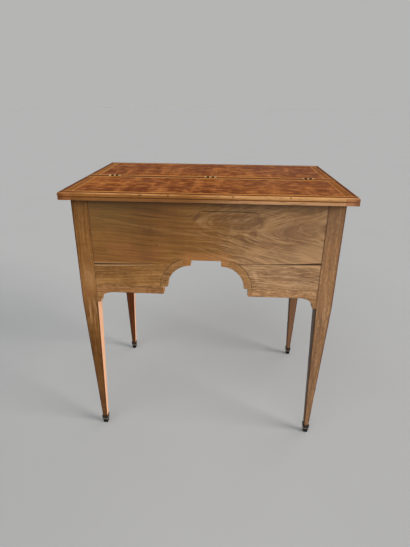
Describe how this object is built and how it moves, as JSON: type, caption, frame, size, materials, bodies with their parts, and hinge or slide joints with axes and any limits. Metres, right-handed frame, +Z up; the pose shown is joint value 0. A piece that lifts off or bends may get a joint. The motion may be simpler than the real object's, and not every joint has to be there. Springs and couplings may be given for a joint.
{
  "type": "writing desk",
  "caption": "Small kneehole writing desk on square tapered legs, with an inlaid top whose front leaf folds back over a well, and drawers either side of an arched recess.",
  "frame": {"origin": "on the floor, below the middle of the top", "axes": "+Z up; +Y towards the plain plank back; the user sits on the -Y side, where the drawers open; +X to the user's right"},
  "size_m": [0.712, 0.4978, 0.744],
  "materials": {
    "top_wood": "worn French polish, red-brown",
    "top_veneer": "worn French polish, figured",
    "string_wood": "polished, golden",
    "leg_wood": "waxed, red-brown",
    "case_wood": "waxed, red-brown",
    "back_wood": "thin old wax over planed boards",
    "inner_wood": "bare planed boards",
    "knob_wood": "turned and polished",
    "dark_block": "ebonised",
    "ring_metal": "worn",
    "cup_metal": "dark patina",
    "hinge_brass": "worn, dull",
    "writing_leather": "dark green hide, worn",
    "lining_cloth": "plain baize"
  },
  "bodies": {
    "frame": {"back_arch_band_left": "back_wood", "back_arch_band_right": "back_wood", "back_bottom_strips": "back_wood", "back_lower_plank_left": "back_wood", "back_lower_plank_right": "back_wood", "back_upper_plank": "back_wood", "corner_brackets": "case_wood", "drawer_guides": "inner_wood", "drawer_stops": "inner_wood", "ferrule_rings": "ring_metal", "front_arch_brackets": "case_wood", "front_bottom_rails": "case_wood", "front_centre_rail": "case_wood", "front_frieze": "case_wood", "front_posts": "case_wood", "hinge_fixed_leaves": "hinge_brass", "hinge_fixed_screws": "hinge_brass", "hinge_pins": "hinge_brass", "kneehole_soffit": "inner_wood", "kneehole_walls": "inner_wood", "leg_front_left": "leg_wood", "leg_front_right": "leg_wood", "leg_rear_left": "leg_wood", "leg_rear_right": "leg_wood", "pedestal_bottoms": "inner_wood", "rear_leaf_board": "top_wood", "rear_leaf_end_caps": "top_wood", "rear_leaf_stringing": "string_wood", "rear_leaf_veneer": "top_veneer", "side_panel_left": "case_wood", "side_panel_right": "case_wood", "toe_blocks": "dark_block", "toe_ferrules": "cup_metal", "well_back": "inner_wood", "well_dividers": "inner_wood", "well_floor": "inner_wood", "well_lining": "lining_cloth"},
    "flap": {"flap_board": "top_wood", "flap_end_caps": "top_wood", "flap_stringing": "string_wood", "flap_veneer": "top_veneer", "flap_leather": "writing_leather", "hinge_moving_leaves": "hinge_brass", "hinge_moving_screws": "hinge_brass"},
    "drawer_left": {"drawer_left_back": "inner_wood", "drawer_left_bottom": "inner_wood", "drawer_left_front": "case_wood", "drawer_left_knob": "knob_wood", "drawer_left_sides": "inner_wood"},
    "drawer_right": {"drawer_right_back": "inner_wood", "drawer_right_bottom": "inner_wood", "drawer_right_front": "case_wood", "drawer_right_knob": "knob_wood", "drawer_right_sides": "inner_wood"},
    "drawer_centre": {"drawer_centre_back": "inner_wood", "drawer_centre_bottom": "inner_wood", "drawer_centre_front": "case_wood", "drawer_centre_knobs": "knob_wood", "drawer_centre_sides": "inner_wood"}
  },
  "joints": [
    {"name": "flap_hinge", "type": "hinge", "parent": "frame", "child": "flap", "pos_m": [0, 0.017, 0.7408], "axis": [-1, 0, 0], "range_deg": [0, 180]},
    {"name": "drawer_left_slide", "type": "slide", "parent": "frame", "child": "drawer_left", "axis": [0, -1, 0], "range_m": [0, 0.27]},
    {"name": "drawer_right_slide", "type": "slide", "parent": "frame", "child": "drawer_right", "axis": [0, -1, 0], "range_m": [0, 0.27]},
    {"name": "drawer_centre_slide", "type": "slide", "parent": "frame", "child": "drawer_centre", "axis": [0, -1, 0], "range_m": [0, 0.27]}
  ]
}
